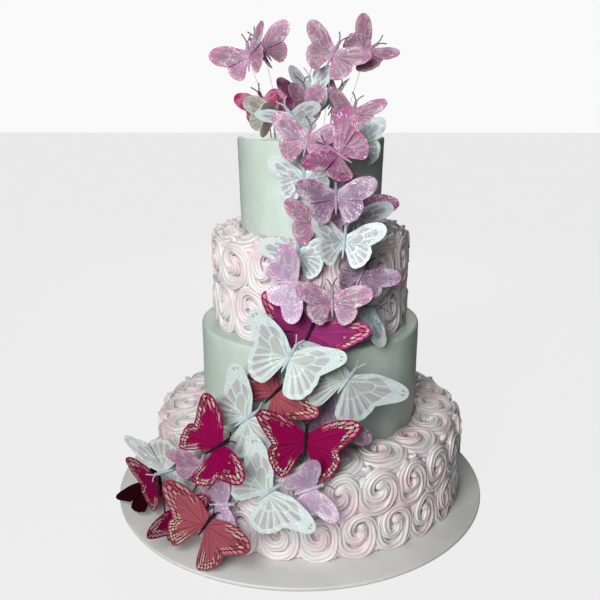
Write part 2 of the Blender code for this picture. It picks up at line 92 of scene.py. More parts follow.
# name: kind, colour, around, out, up, faces, tips, heading, left lift, right lift, span
CASCADE = {
    "flying_1": ("small", "pink", -61.2, 71.7, 486.3, 0, 20, -4, 5, 52, 74),
    "flying_2": ("small", "pink", -92, 50, 496, 10, 15, -33, 60, 5, 72),
    "flying_3": ("small", "pink", 45, 31, 489, 0, 12, 29, 8, 10, 76),
    "flying_4": ("small", "pink", 90, 57, 493, 10, -5, 57, 5, 52, 72),
    "crown_1": ("small", "magenta", -59, 55, 440, 9, -14, -26, 36, 51, 76),
    "crown_2": ("small", "purple", -147.2, 39.7, 443, 0, 10, -75, 40, 60, 74),
    "crown_3": ("small", "ivory", -38.7, 57.8, 430.5, -48.9, -2.4, 32.7, 70, 66, 76),
    "crown_4": ("small", "white", -177.5, 11.4, 455, -1, 7, -6, 50, 46, 76),
    "crown_5": ("small", "pink", -17.0, 21.8, 447.2, 5, -15, -9, 58, 54, 72),
    "crown_6": ("small", "pink", 54, 53, 431, 5, 30, 16, 20, 22, 70),
    "crown_7": ("small", "silver", 94, 26, 448, -35, 25, 20, 10, 42, 76),
    "crown_8": ("small", "white", -12.8, 80.5, 429.9, -5, 40, -34, 14, -24, 70),
    "upper_1": ("small", "pink", -2, 98, 408, -5, 15, 12, 12, 25, 76),
    "upper_2": ("small", "hot", 11.7, 125.3, 398.4, 10, 20, -54, 20, 15, 80),
    "upper_3": ("small", "silver", 28, 89, 402, 20, 15, -12, 20, 35, 74),
    "upper_4": ("small", "white", -4, 88, 371, -8, 8, -3, 12, 15, 76),
    "upper_5": ("small", "mauve", 9.7, 137.5, 360, 8, 12, 1, 12, 25, 78),
    "upper_6": ("small", "hot", 33, 91, 349, 20, 15, 35, 20, 15, 74),
    "upper_7": ("small", "pink", 3.9, 107.6, 330.8, -5, 20, 5, 25, 15, 76),
    "middle_1": ("small", "white", 14, 131, 317, 8, 15, 8, 23, 22, 80),
    "middle_2": ("small", "white", 26, 100, 335, 20, 20, 15, 20, 15, 74),
    "middle_3": ("small", "white", -6.1, 111.9, 300.7, -8, 8, 0, 10, 10, 76),
    "middle_4": ("small", "lilac", -8, 129, 278, -10, 12, 90, 20, 12, 76),
    "middle_5": ("small", "pink", 9, 134, 261, 6, 12, 0, 12, 12, 76),
    "middle_6": ("small", "mauve", 24, 121, 281, 22, 15, 33, 20, 15, 76),
    "middle_7": ("small", "silver", 29.8, 116.4, 246, 30, 8, 96, 20, 15, 80),
    "middle_8": ("feather", "purple", 0, 123, 227, -2, 22, 25, 6, 8, 110),
    "lower_1": ("large", "white", -7.5, 151.4, 210, -8, 20, 26, 12, 12, 106),
    "lower_2": ("large", "white", 13.3, 154.2, 187.7, 10, 10, 38, -10, 10, 110),
    "lower_3": ("feather", "coral", -15, 135, 165, -14, 15, 42, 15, 15, 98),
    "lower_4": ("large", "white", -22.7, 160.4, 146.1, -18, 25, 50, 14, -2, 102),
    "lower_5": ("feather", "magenta", -27.4, 191.8, 126.6, -22, 25, 54, 14, 22, 98),
    "lower_6": ("feather", "magenta", -1.2, 172, 134, 0, 20, 5, 10, 10, 101),
    "lower_7": ("large", "white", -12.1, 188.5, 86.5, -16, 14, 50, 4, 4, 104),
    "lower_8": ("small", "lilac", 0, 187, 92, 0, 10, 70, 25, 10, 74),
    "lower_9": ("small", "pink", -34.3, 190.1, 100, -31, 2, 20, 40, 25, 70),
    "lower_10": ("small", "lilac", -26.8, 189, 63.8, -25, 10, 75, 20, 20, 70),
    "lower_11": ("large", "white", -50.1, 196.4, 74.4, -22, -20, -119, 12, -19, 104),
    "lower_12": ("feather", "magenta", -53.7, 196.7, 52.6, -32, 1, -8, -6, 42, 96),
    "lower_13": ("feather", "coral", -29.7, 202.7, 46.3, -22, 20, 30, 12, 12, 108),
    "lower_14": ("feather", "magenta", -41.1, 197.1, 44.7, 3, -17, -20, 50, 16, 86),
    "lower_15": ("small", "mauve", 11, 131, 132, 5, 20, 50, 15, 15, 78),
    "lower_16": ("feather", "magenta", -66.2, 195.5, 33.4, -63, 14, -81, 35, -14, 84),
}
# How far a few of them swing their left and right wings forward, in degrees
SWEEPS = {
    "flying_1": (-24, 14), "flying_2": (-20, -12), "flying_4": (0, 18), "upper_2": (8, 0),
    "upper_4": (8, 8), "upper_5": (-10, -5), "middle_3": (-8, 0), "middle_4": (-32, -18),
    "middle_5": (0, -12), "middle_7": (0, -10), "middle_8": (-14, 0), "lower_1": (0, 6),
    "lower_2": (-26, 0), "lower_5": (-8, -5), "lower_6": (0, -4), "lower_13": (-20, -5),
    "crown_1": (16, -9), "crown_3": (-4, 7), "crown_5": (10, -6), "crown_8": (0, -11),
    "crown_4": (9, 0), "lower_9": (-6, -2), "lower_14": (-9, 3), "lower_11": (-24, 9),
}

# How much darker or lighter than their kind a few of them are: partly their own tone, partly painted shade
# on those in shadow and painted light on those lit
TONES_AND_PAINTED_SHADE = {
    "lower_2": 0.74, "lower_16": 0.2, "lower_12": 0.75, "lower_14": 1.1, "lower_15": 0.9,
    "upper_3": 1.15, "middle_7": 1.15, "crown_3": 1.3, "crown_4": 1.15, "middle_2": 1.15,
    "crown_1": 1.15, "crown_5": 1.3, "middle_8": 1.2, "lower_13": 0.88,
    "flying_3": 0.9, "flying_4": 0.9, "upper_2": 0.92, "lower_4": 0.93,
}

# Camera at the photograph's height and distance
CAMERA_PLACE = (0.0115, -0.7904, 0.4514)
CAMERA_DOWN = 16.03
CAMERA_LEVEL = 0.836
CAMERA_LENS = 43.19

# A plain studio. Of each light: name, kind, place, size (a sun's angle) and power
LIGHTS = (
    ("key", "SUN", (-0.7, -1.4, 0.75), 0.35, 1.15),
    ("front", "AREA", (-0.2, -0.85, 0.7), 0.4, 6.1),
    ("back", "AREA", (0, 1.3, 0.8), 0.6, 6),
)
LIGHTS_AIM = Vector((0, 0, 0.22))
AMBIENT = 0.03
BACKDROP = (0.95, 0.95, 0.95, 1)
FLOOR_GREY = (0.4, 0.4, 0.4, 1)
FLOOR_GLOW_SHARE = 0.85
FLOOR_HALF = 8
FLOOR_DROP = 0.0002

# Points round each turned surface
ROUND = 240
# How much taller than its cell a rosette of each wall row is piped
TALLER = (1.06, 1.28)
# A rosette's rope of icing: its points along, and half its thickness
ROPE_STATIONS = 52
ROPE = 7.2 * MM
# How far out its edge comes, as a share of its cell, and how far from the middle it starts
ROPE_REACH = 1.26
ROPE_START = 1.0 * MM
# How far its turns lean from ovals to squares, and its middle upwards
ROPE_SQUARER = 0.07
ROPE_MIDDLE_UP = 0.26
# How far its own middle lies below its top, and how deep the grooves of the star tip are
ROPE_SUNK = 0.93
GROOVE_DEPTH = 0.27
ROPE_UNEVENNESS = 1.3 * MM
# Directions, in degrees, that a rosette may start in
STARTS = [100, 130, 150, 180]
# How far the drum of icing stands out from the wall and up from the ledge
DRUM_STAND = 3.2 * MM
DRUM_UNEVENNESS = 0.9 * MM
SMOOTH_EDGE = 3 * MM
SMOOTH_UNEVENNESS = 0.35 * MM
BOARD_EDGE = 1.2 * MM

# Half the thickness of a wing, and where a vein crosses it, as a share of the way out
WING_HALF_THICKNESS = 0.25 * MM
CROSS_VEIN = 0.47
# Points along and round a body, how many bands its length would hold, and where they end
BODY_STATIONS = 34
BODY_SIDES = 10
BANDS = 16
TAIL_END = 0.55
ANTENNA_RADII = [0.6 * MM] * 10 + [0.7 * MM, 0.5 * MM]
PICK_RADII = [0.7 * MM, 0.5 * MM]
WIRE_RADIUS = 0.25 * MM
WIRE_POINTS = 9
# Antennae of the large and the white butterflies, their dark and light
PALE_ANTENNAE = ((0.5, 0.56, 0.56), (0.6, 0.66, 0.66))


def around_cake(degrees, out, up):
    angle = math.radians(degrees)
    return Vector((CAKE_OFFSET_X + out * math.sin(angle), -out * math.cos(angle), up))


def swept(x, y, sweep):
    bearing = math.degrees(math.atan2(y, x))
    fade = 1 - (bearing / SWEEP_REACH) ** 2
    swung = math.radians(bearing + sweep * fade)
    reach = math.hypot(x, y)
    return reach * math.cos(swung), reach * math.sin(swung)


def pose_of(name):
    """Where a butterfly of the cascade is, and how it is turned."""
    around, out, up, faces, tips, heading = CASCADE[name][2:8]
    face, tip, head = (math.radians(a) for a in (faces, tips, heading))
    back = Vector((math.sin(face) * math.cos(tip), -math.cos(face) * math.cos(tip), math.sin(tip)))
    upright = (Vector((0, 0, 1)) - back * back.z).normalized()
    forward = math.cos(head) * upright + math.sin(head) * upright.cross(back)
    across = forward.cross(back)
    turn = Matrix((across, forward, back)).transposed().to_4x4()
    return Matrix.Translation(around_cake(around, out * MM, up * MM)) @ turn


class Piece:
    """Points, faces and numbers for each point of one mesh under construction."""

    def __init__(self):
        self.points, self.faces, self.looks, self.numbers = [], [], [], {}
        self.count = 0

    def grid(self, points, numbers=None, look=0, wrap=False, flip=False, caps=False):
        """Adds a rows x columns array of points as quads. wrap joins the last column to the first."""
        rows, columns = points.shape[:2]
        self.points.append(points.reshape(-1, 3))
        numbers = numbers or {}
        for name in sorted(set(self.numbers) | set(numbers)):
            kept = self.numbers.setdefault(name, [np.zeros(self.count)])
            kept.append(np.asarray(numbers.get(name, np.zeros((rows, columns)))).reshape(-1))
        at = self.count + np.arange(rows * columns).reshape(rows, columns)
        left, right = at, np.roll(at, -1, axis=1)
        if not wrap:
            left, right = left[:, :-1], right[:, :-1]
        quads = np.stack([left[:-1], right[:-1], right[1:], left[1:]], axis=-1).reshape(-1, 4)
        if flip:
            quads = quads[:, ::-1]
        self.faces.extend(quads.tolist())
        added = len(quads)
        if caps:
            first, last = at[0].tolist(), at[-1].tolist()
            self.faces.append(first if flip else first[::-1])
            self.faces.append(last[::-1] if flip else last)
            added += 2
        self.looks.extend([look] * added)
        self.count += rows * columns

    def make(self, name, materials, crease=None):
        mesh = bpy.data.meshes.new(name)
        mesh.from_pydata(np.concatenate(self.points).tolist(), [], self.faces)
        for key, parts in self.numbers.items():
            layer = mesh.attributes.new(key, "FLOAT", "POINT")
            layer.data.foreach_set("value", np.concatenate(parts).astype(np.float32))
        for material in materials:
            mesh.materials.append(material)
        mesh.polygons.foreach_set("material_index", self.looks)
        mesh.polygons.foreach_set("use_smooth", [True] * len(mesh.polygons))
        if crease:
            mesh.set_sharp_from_angle(angle=math.radians(crease))
        mesh.update()
        made = bpy.data.objects.new(name, mesh)
        bpy.context.scene.collection.objects.link(made)
        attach(made, "root")
        return made


class Look:
    """A material under construction, with short names for the nodes it is made of."""

    def __init__(self, name, **inputs):
        self.material = bpy.data.materials.new(name)
        self.material.use_nodes = True
        self.tree = self.material.node_tree
        self.shader = self.tree.nodes["Principled BSDF"]
        self.fill(self.shader, inputs)

    def feed(self, socket, value):
        """Links an output to an input, or gives the input a fixed number, vector or colour."""
        if isinstance(value, bpy.types.NodeSocket):
            self.tree.links.new(value, socket)
        elif isinstance(value, tuple) and len(value) == 3 and len(socket.default_value) == 4:
            socket.default_value = (*value, 1)
        else:
            socket.default_value = value

    def fill(self, node, inputs):
        for key, value in inputs.items():
            self.feed(node.inputs[key.replace("_", " ")], value)
        return node

    def node(self, kind, **inputs):
        return self.fill(self.tree.nodes.new("ShaderNode" + kind), inputs)

    def math(self, operation, *values):
        node = self.node("Math")
        node.operation = operation
        for socket, value in zip(node.inputs, values):
            self.feed(socket, value)
        return node.outputs[0]

    def times(self, a, b):
        return self.math("MULTIPLY", a, b)

    def minus(self, a, b):
        return self.math("SUBTRACT", a, b)

    def step(self, value, low, high, start=0.0, end=1.0):
        """Goes smoothly from start to end while the value goes from low to high."""
        node = self.node("MapRange", Value=value, From_Min=low, From_Max=high, To_Min=start, To_Max=end)
        node.interpolation_type = "SMOOTHSTEP"
        return node.outputs["Result"]

    def mix(self, share, a, b):
        node = self.node("Mix")
        node.data_type = "RGBA"
        for index, value in ((0, share), (6, a), (7, b)):
            self.feed(node.inputs[index], value)
        return node.outputs[2]

    def number(self, name):
        """One of the numbers that the mesh holds for each point."""
        node = self.node("Attribute")
        node.attribute_name = name
        return node.outputs["Fac"]

    def place(self, stretch=(1, 1, 1)):
        at = self.node("TexCoord").outputs["Object"]
        return self.node("Mapping", Scale=stretch, Vector=at).outputs["Vector"]

    def vector(self, x, y, z=0.0):
        return self.node("CombineXYZ", X=x, Y=y, Z=z).outputs[0]

    def noise(self, scale, detail=2.0, roughness=0.5, at=None):
        at = self.place() if at is None else at
        node = self.node("TexNoise", Vector=at, Scale=scale, Detail=detail, Roughness=roughness)
        return node.outputs["Fac"]

    def cells(self, scale, output="Distance"):
        return self.node("TexVoronoi", Vector=self.place(), Scale=scale).outputs[output]

    def bump(self, height, strength, distance):
        node = self.node("Bump", Strength=strength, Distance=distance, Height=height)
        self.feed(self.shader.inputs["Normal"], node.outputs["Normal"])

    def colour(self, value):
        self.feed(self.shader.inputs["Base Color"], value)

    def toned_and_shaded(self, value):
        """The base colour times each point's tone number: partly its own tone, partly painted shade and
        painted light.
        """
        node = self.node("VectorMath")
        node.operation = "SCALE"
        self.feed(node.inputs[0], value)
        self.feed(node.inputs["Scale"], self.number("tone"))
        self.colour(node.outputs[0])

    def rough(self, value):
        self.feed(self.shader.inputs["Roughness"], value)


def smooth_icing_look():
    """Pale mint buttercream drawn smooth, with faint upright strokes and cloudy patches."""
    scatter = (1.0, 0.9, 0.7)
    look = Look("smooth_icing", Subsurface_Weight=0.12, Subsurface_Scale=0.004, Subsurface_Radius=scatter)
    strokes = look.noise(380, 4, 0.6, look.place((1, 1, 0.4)))
    grain = look.noise(900, 2)
    clouds = look.noise(28, 3, 0.6, look.place((1, 1, 0.6)))
    base = look.mix(look.step(clouds, 0.35, 0.7), (0.57, 0.67, 0.59), (0.65, 0.76, 0.70))
    look.colour(look.mix(look.step(strokes, 0.3, 0.75, 0.3, 0), base, (0.54, 0.63, 0.55)))
    look.rough(look.step(grain, 0.3, 0.7, 0.42, 0.6))
    look.bump(look.math("MULTIPLY_ADD", strokes, 0.8, grain), 0.35, 0.0006)
    return look.material


def piped_icing_look():
    """White buttercream with a pale pink blush, and painted shade in the creases between the ridges, partly
    grey and partly pink.
    """
    scatter = (1.0, 0.75, 0.7)
    look = Look("piped_icing", Subsurface_Weight=0.15, Subsurface_Scale=0.003, Subsurface_Radius=scatter)
    # The creases between the ridges get painted shade, partly grey and partly the blush's pink.
    crease = look.step(look.number("crest"), 0.0, 0.6, 1, 0)
    clouds = look.noise(30, 2)
    fine = look.noise(420, 3, 0.6)
    base = look.mix(look.step(clouds, 0.4, 0.68), (0.82, 0.785, 0.79), (0.83, 0.69, 0.72))
    crease_shade = look.mix(look.step(clouds, 0.35, 0.6), (0.52, 0.48, 0.50), (0.74, 0.50, 0.54))
    look.colour(look.mix(look.times(crease, 0.7), base, crease_shade))
    look.rough(look.step(fine, 0.3, 0.7, 0.38, 0.52))
    look.bump(fine, 0.2, 0.0005)
    return look.material


def board_look():
    """White coated card with faint scuffs."""
    look = Look("board")
    wide = look.noise(12, 3, 0.6)
    fine = look.noise(300, 3)
    base = look.mix(look.step(wide, 0.35, 0.7), (0.71, 0.72, 0.705), (0.80, 0.80, 0.79))
    look.colour(look.mix(look.step(fine, 0.62, 0.72, 0, 0.45), base, (0.62, 0.62, 0.62)))
    look.rough(look.step(wide, 0.3, 0.7, 0.4, 0.55))
    look.bump(fine, 0.1, 0.0004)
    return look.material


def wire_look():
    look = Look("wire", Metallic=0.5)
    fine = look.noise(800, 2)
    look.colour(look.mix(fine, (0.88, 0.88, 0.89), (0.95, 0.95, 0.95)))
    look.rough(look.step(fine, 0.3, 0.7, 0.25, 0.4))
    return look.material


def floor_look():
    """Matt white, shown brighter than it lights, as a paper sweep in a studio is lit apart."""
    look = Look("studio_floor", Base_Color=FLOOR_GREY, Roughness=0.8)
    share = look.times(look.node("LightPath").outputs["Is Camera Ray"], FLOOR_GLOW_SHARE)
    glow = look.node("Emission", Color=BACKDROP)
    both = look.node("MixShader")
    for socket, value in zip(both.inputs, (share, look.shader.outputs[0], glow.outputs[0])):
        look.feed(socket, value)
    look.feed(look.tree.nodes["Material Output"].inputs["Surface"], both.outputs[0])
    return look.material


def paler(colour, share):
    return tuple(c + (0.9 - c) * share for c in colour)


def shaded(colour, by):
    return tuple(min(1.0, c * by) for c in colour)


# Of each sheer small wing: its field, cell, border and speck colours
SHEER = {
    "pink": ((0.48, 0.20, 0.35), (0.29, 0.21, 0.27), (0.34, 0.10, 0.23), (0.92, 0.84, 0.90)),
    "hot": ((0.42, 0.08, 0.26), (0.27, 0.15, 0.23), (0.30, 0.04, 0.17), (0.93, 0.80, 0.90)),
    "mauve": ((0.31, 0.15, 0.29), (0.21, 0.16, 0.22), (0.26, 0.08, 0.22), (0.86, 0.80, 0.90)),
    "lilac": ((0.56, 0.32, 0.53), (0.36, 0.31, 0.39), (0.42, 0.18, 0.38), (0.95, 0.90, 0.97)),
    "silver": ((0.29, 0.36, 0.37), (0.22, 0.26, 0.27), (0.34, 0.42, 0.42), (0.76, 0.86, 0.84)),
    "ivory": ((0.46, 0.44, 0.38), (0.32, 0.30, 0.27), (0.50, 0.48, 0.42), (0.86, 0.86, 0.80)),
    "white": ((0.62, 0.70, 0.69), (0.38, 0.36, 0.39), (0.72, 0.80, 0.79), (0.93, 1.0, 0.97)),
    "magenta": ((0.56, 0.02, 0.20), (0.40, 0.04, 0.17), (0.34, 0.01, 0.11), (0.85, 0.40, 0.56)),
    "purple": ((0.26, 0.03, 0.16), (0.20, 0.05, 0.15), (0.14, 0.01, 0.09), (0.64, 0.38, 0.58)),
}


def from_middle(look, value):
    """How far a number is from the middle between two whole ones."""
    return look.math("ABSOLUTE", look.minus(look.math("FRACT", value), 0.5))


def fine_rays(look, count):
    """Fine streaks that run out from the wing's root."""
    across = look.times(look.number("turn"), count)
    along = look.times(look.number("rim"), 0.05)
    return look.noise(1, 3, 0.6, look.vector(across, along))


def vein_distance(look, veins):
    """How far a point is from the nearest of the veins that fan out from the root, in mm."""
    middle = from_middle(look, look.times(look.number("turn"), veins))
    share = look.math("DIVIDE", look.minus(0.5, middle), veins)
    return look.times(share, look.number("arc"))


def wing_cells(look, margin, rounding):
    """How far from the veins, and how far inside its printed cell, a point is, in mm.

    There are two or three cells near the root and five or six beyond the vein that crosses."""
    hind, cross = look.number("hind"), look.number("cross")
    near = vein_distance(look, look.math("ADD", hind, 2.0))
    beyond = vein_distance(look, look.math("ADD", hind, 5.0))
    outer = look.step(cross, -0.02, 0.02)
    vein = look.math("MULTIPLY_ADD", look.minus(beyond, near), outer, near)
    vein = look.math("SMOOTH_MIN", vein, look.math("ABSOLUTE", cross), rounding)
    inside = look.minus(look.number("rim"), margin)
    return vein, look.math("SMOOTH_MIN", look.minus(vein, 0.45), inside, rounding)


def sheer_wing_look(colour):
    """Sheer printed wings: greyer cells between the veins, and white glitter, most by the rim."""
    field, cell, border, speck = SHEER[colour]
    look = Look("sheer_" + colour, Subsurface_Weight=0.3, Subsurface_Scale=0.003)
    rim, far = look.number("rim"), look.number("far")
    vein, inside = wing_cells(look, look.step(far, 0.55, 1.05, 2.6, 9.0), 1.6)
    rays = fine_rays(look, 60)
    patch = look.step(look.noise(75, 2), 0.42, 0.62)
    shown = look.mix(look.step(rays, 0.35, 0.65), shaded(field, 0.8), shaded(field, 1.12))
    shown = look.mix(look.times(patch, 0.65), shown, paler(field, 0.45))
    within = look.mix(look.step(rays, 0.35, 0.65), shaded(cell, 0.8), shaded(cell, 1.2))
    shown = look.mix(look.step(inside, 0.0, 0.7, 0, 0.8), shown, within)
    shown = look.mix(look.step(vein, 0.1, 0.4, 0.45, 0), shown, border)
    shown = look.mix(look.step(rim, 0.2, 0.8, 0.3, 0), shown, border)
    dots = look.cells(640)
    crowd = look.step(look.noise(140, 2), 0.4, 0.65, 0.0, 0.24)
    crowd = look.math("ADD", look.step(rim, 0.5, 9.0, 0.24, 0.08), crowd)
    sparkle = look.step(look.minus(crowd, dots), -0.02, 0.06)
    look.toned_and_shaded(look.mix(look.times(sparkle, 0.85), shown, speck))
    look.rough(look.step(sparkle, 0, 1, 0.5, 0.25))
    look.bump(rays, 0.2, 0.0004)
    return look.material


# Of the large white wings: their cells from the body outwards, and what lies over them
LARGE_CELLS = ((0.47, 0.49, 0.44), (0.38, 0.36, 0.39))
LARGE_STREAKS = (0.55, 0.57, 0.57)
LARGE_WHITE = ((0.52, 0.60, 0.58), (0.70, 0.79, 0.77))
LARGE_SPECKS = (0.93, 1.0, 0.98)
LARGE_MARKS = (0.30, 0.34, 0.36)


def large_wing_look():
    """White glittered margins and thin veins round long greyish cells, with marks near the tips."""
    look = Look("glitter_white", Subsurface_Weight=0.25, Subsurface_Scale=0.003)
    rim, far, hind = look.number("rim"), look.number("far"), look.number("hind")
    front = look.step(far, 0.5, 1.05, 2.4, 17.0)
    margin = look.math("MULTIPLY_ADD", hind, look.minus(4.0, front), front)
    _, inside = wing_cells(look, margin, 3.2)
    grain = look.noise(600, 3, 0.7)
    cell = look.mix(look.step(far, 0.2, 0.7), *LARGE_CELLS)
    cell = look.mix(look.step(fine_rays(look, 50), 0.35, 0.7), cell, LARGE_STREAKS)
    white = look.mix(look.step(grain, 0.3, 0.7), *LARGE_WHITE)
    dots = look.cells(700)
    white = look.mix(look.step(dots, 0.1, 0.2, 0.9, 0), white, LARGE_SPECKS)
    shown = look.mix(look.step(inside, 0.0, 0.8), white, cell)
    ring = look.math("ABSOLUTE", look.minus(rim, 4.5))
    gaps = from_middle(look, look.times(look.number("turn"), 20))
    marks = look.times(look.step(ring, 0.9, 1.5, 1, 0), look.step(gaps, 0.2, 0.32, 1, 0))
    tip = look.times(look.step(far, 0.95, 0.98), look.minus(1.0, hind))
    shown = look.mix(look.times(marks, tip), shown, LARGE_MARKS)
    look.toned_and_shaded(shown)
    look.rough(look.step(inside, 0.0, 0.8, 0.5, 0.3))
    look.bump(grain, 0.3, 0.0004)
    return look.material


# Of each feather wing: its field, print and edge colours, and how far the print reaches in, in mm
FEATHER = {
    "magenta": ((0.25, 0.0, 0.06), (0.12, 0.0, 0.016), (0.34, 0.003, 0.09), 6.2),
    "coral": ((0.38, 0.085, 0.115), (0.15, 0.003, 0.01), (0.34, 0.02, 0.06), 8.5),
    "purple": ((0.24, 0.025, 0.13), (0.20, 0.0, 0.04), (0.40, 0.02, 0.22), 5.2),
}
FEATHER_RINGS = (0.50, 0.28, 0.27)
FEATHER_CELLS = (0.60, 0.27, 0.32)
GOLD_GLITTER = (0.55, 0.60, 0.42)
PALE_GLITTER = (0.75, 0.80, 0.72)


def printed_cells(look, hind):
    """Rounded cells in rows along the rim, and a number drawn for each from 0 to 1."""
    across = look.times(look.number("turn"), look.math("MULTIPLY_ADD", hind, -5.0, 19.0))
    rows = look.math("MULTIPLY_ADD", hind, 0.09, 0.26)
    inward = look.times(look.minus(look.number("rim"), 1.0), rows)
    beyond = []
    for value in (across, inward):
        beyond.append(look.math("POWER", look.times(from_middle(look, value), 2.0), 3.5))
    cell = look.step(look.math("ADD", *beyond), 0.3, 0.5, 1, 0)
    draw_at = look.vector(look.math("FLOOR", across), look.math("FLOOR", inward), look.number("seed"))
    return cell, look.node("TexWhiteNoise", Vector=draw_at).outputs["Value"]


def printed_zone(look, hind, reach):
    """The band along the rim that is printed, widest at the tip of a forewing."""
    rim, far = look.number("rim"), look.number("far")
    tip = look.times(look.step(far, 0.6, 1.05), look.minus(1.0, hind))
    wide = look.math("MULTIPLY_ADD", tip, 10.0, reach)
    wide = look.math("ADD", wide, look.times(hind, 1.2))
    zone = look.step(look.minus(wide, rim), 0.0, 0.6)
    zone = look.times(zone, look.step(rim, 1.0, 1.4))
    zone = look.times(zone, look.step(far, 0.36, 0.5))
    # no print on a wing painted dark all over as painted shade
    return look.times(zone, look.step(look.number("tone"), 0.3, 0.45))


def glitter_grains(look, field):
    """Tiny grains of the wing's own colour, gold and pale green."""
    grains = look.node("SeparateColor", Color=look.cells(1300, "Color")).outputs
    red, green = grains["Red"], grains["Green"]
    glitter = look.mix(look.step(red, 0.45, 0.55), shaded(field, 1.3), GOLD_GLITTER)
    return look.mix(look.step(green, 0.75, 0.8), glitter, PALE_GLITTER)


def feather_wing_look(colour):
    """Velvety wings whose outer part is printed with pale and glittering cells in dark red.

    A wing whose tone number is below 0.3 is painted the print's dark red all over, as painted shade."""
    field, dark, edge, reach = FEATHER[colour]
    look = Look("feather_" + colour, Specular_IOR_Level=0.08)
    rim, far, hind, tone = (look.number(name) for name in ("rim", "far", "hind", "tone"))
    lines = fine_rays(look, 50)
    shown = look.mix(look.step(lines, 0.3, 0.7), shaded(field, 1.2), shaded(field, 0.75))
    vein = vein_distance(look, look.math("ADD", hind, 3.0))
    shown = look.mix(look.step(vein, 0.1, 0.45, 0.7, 0), shown, dark)
    spots = look.cells(110)
    spots = look.math("ADD", spots, look.step(far, 0.2, 0.6, 0.4, 0))
    shown = look.mix(look.step(spots, 0.26, 0.3, 0.8, 0), shown, dark)
    rings = look.math("ABSOLUTE", look.minus(spots, 0.17))
    rings = look.times(look.step(rings, 0.025, 0.05, 1, 0), look.step(tone, 0.3, 0.45, 0, 0.6))
    shown = look.mix(rings, shown, FEATHER_RINGS)
    cell, chance = printed_cells(look, hind)
    zone = printed_zone(look, hind, reach)
    shown = look.mix(look.times(zone, 0.9), shown, dark)
    sparkling = look.step(look.math("MULTIPLY_ADD", hind, 0.42, chance), 0.74, 0.76)
    pale = look.mix(sparkling, FEATHER_CELLS, glitter_grains(look, field))
    lit = look.times(look.times(cell, zone), look.step(chance, 0.26, 0.28, 0.2, 0.9))
    shown = look.mix(lit, shown, pale)
    shown = look.mix(look.step(rim, 0.3, 0.8, 0.9, 0), shown, edge)
    # a wing with a tone number below 0.3 is painted dark red all over: painted shade
    shown = look.mix(look.step(tone, 0.3, 0.45), shaded(dark, 0.8), shown)
    look.toned_and_shaded(shown)
    look.rough(look.step(lines, 0.3, 0.7, 0.65, 0.8))
    look.bump(lines, 0.2, 0.0004)
    return look.material


# Of each colour, and of the two larger kinds: the dark and light bands of the body
BODY_COLOURS = {
    "pink": ((0.40, 0.26, 0.37), (0.58, 0.42, 0.55)),
    "hot": ((0.40, 0.20, 0.33), (0.56, 0.34, 0.48)),
    "mauve": ((0.30, 0.22, 0.32), (0.46, 0.38, 0.50)),
    "lilac": ((0.48, 0.42, 0.52), (0.70, 0.64, 0.74)),
    "silver": ((0.24, 0.30, 0.32), (0.40, 0.47, 0.50)),
    "ivory": ((0.30, 0.26, 0.24), (0.50, 0.46, 0.42)),
    "white": ((0.38, 0.45, 0.52), (0.60, 0.68, 0.74)),
    "magenta": ((0.20, 0.02, 0.10), (0.36, 0.06, 0.20)),
    "purple": ((0.10, 0.03, 0.10), (0.22, 0.08, 0.20)),
    "large": ((0.40, 0.48, 0.54), (0.62, 0.70, 0.74)),
    "feather": ((0.004, 0.003, 0.004), (0.014, 0.008, 0.011)),
}


def body_look(name, dark, light):
    look = Look(name, Specular_IOR_Level=0.25)
    bands = look.number("bands")
    fuzz = look.noise(1500, 3, 0.7)
    look.colour(look.mix(look.step(bands, 0.3, 0.7), dark, light))
    look.rough(look.step(fuzz, 0.3, 0.7, 0.55, 0.8))
    look.bump(fuzz, 0.5, 0.0004)
    return look.material


def revolve(piece, profile, wobble, centre=CAKE_OFFSET_X):
    """Turns a profile of (radius, height) points about the cake's axis, with slight unevenness."""
    angles = np.arange(ROUND) * 2 * math.pi / ROUND
    points = np.zeros((len(profile), ROUND, 3))
    for row, (radius, height) in enumerate(profile):
        for column, angle in enumerate(angles):
            at = Vector((math.sin(angle) * radius, -math.cos(angle) * radius, height))
            push = wobble * noise.noise(at * 28) + wobble * 0.4 * noise.noise(at * 90)
            if radius > 0:
                at.x *= 1 + push / radius
                at.y *= 1 + push / radius
            points[row, column] = (at.x + centre, at.y, at.z)
    piece.grid(points, wrap=True, caps=True)


def smooth_tier(name, bottom, top, radius, taper):
    """A smooth tier: a straight wall, a quarter round at its top edge, and its top in rings."""
    wall_rows, edge_rows, top_rings = 24, 6, 12
    inner, rise = radius - SMOOTH_EDGE, top - SMOOTH_EDGE - bottom
    profile = [(radius - taper, bottom)]
    for k in range(1, wall_rows + 1):
        profile.append((radius - taper * (1 - k / wall_rows), bottom + rise * k / wall_rows))
    for k in range(1, edge_rows + 1):
        angle = k * math.pi / (2 * edge_rows)
        across, up = SMOOTH_EDGE * math.cos(angle), SMOOTH_EDGE * math.sin(angle)
        profile.append((inner + across, top - SMOOTH_EDGE + up))
    for k in range(1, top_rings + 1):
        profile.append((inner * (1 - k / (top_rings + 0.5)), top))
    piece = Piece()
    revolve(piece, profile, SMOOTH_UNEVENNESS)
    made = piece.make(name + "_icing", [SMOOTH_ICING])
    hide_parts(name)


def star_tip(ridges, turned):
    """Angles round each ring of piped icing, turned this far, and how near each is to a ridge."""
    each = 4
    at = np.arange(ridges * each)
    around = at[None] * 2 * math.pi / len(at) + turned[:, None]
    return around, np.abs(np.cos(math.pi * at / each))[None] * np.ones((len(turned), 1))


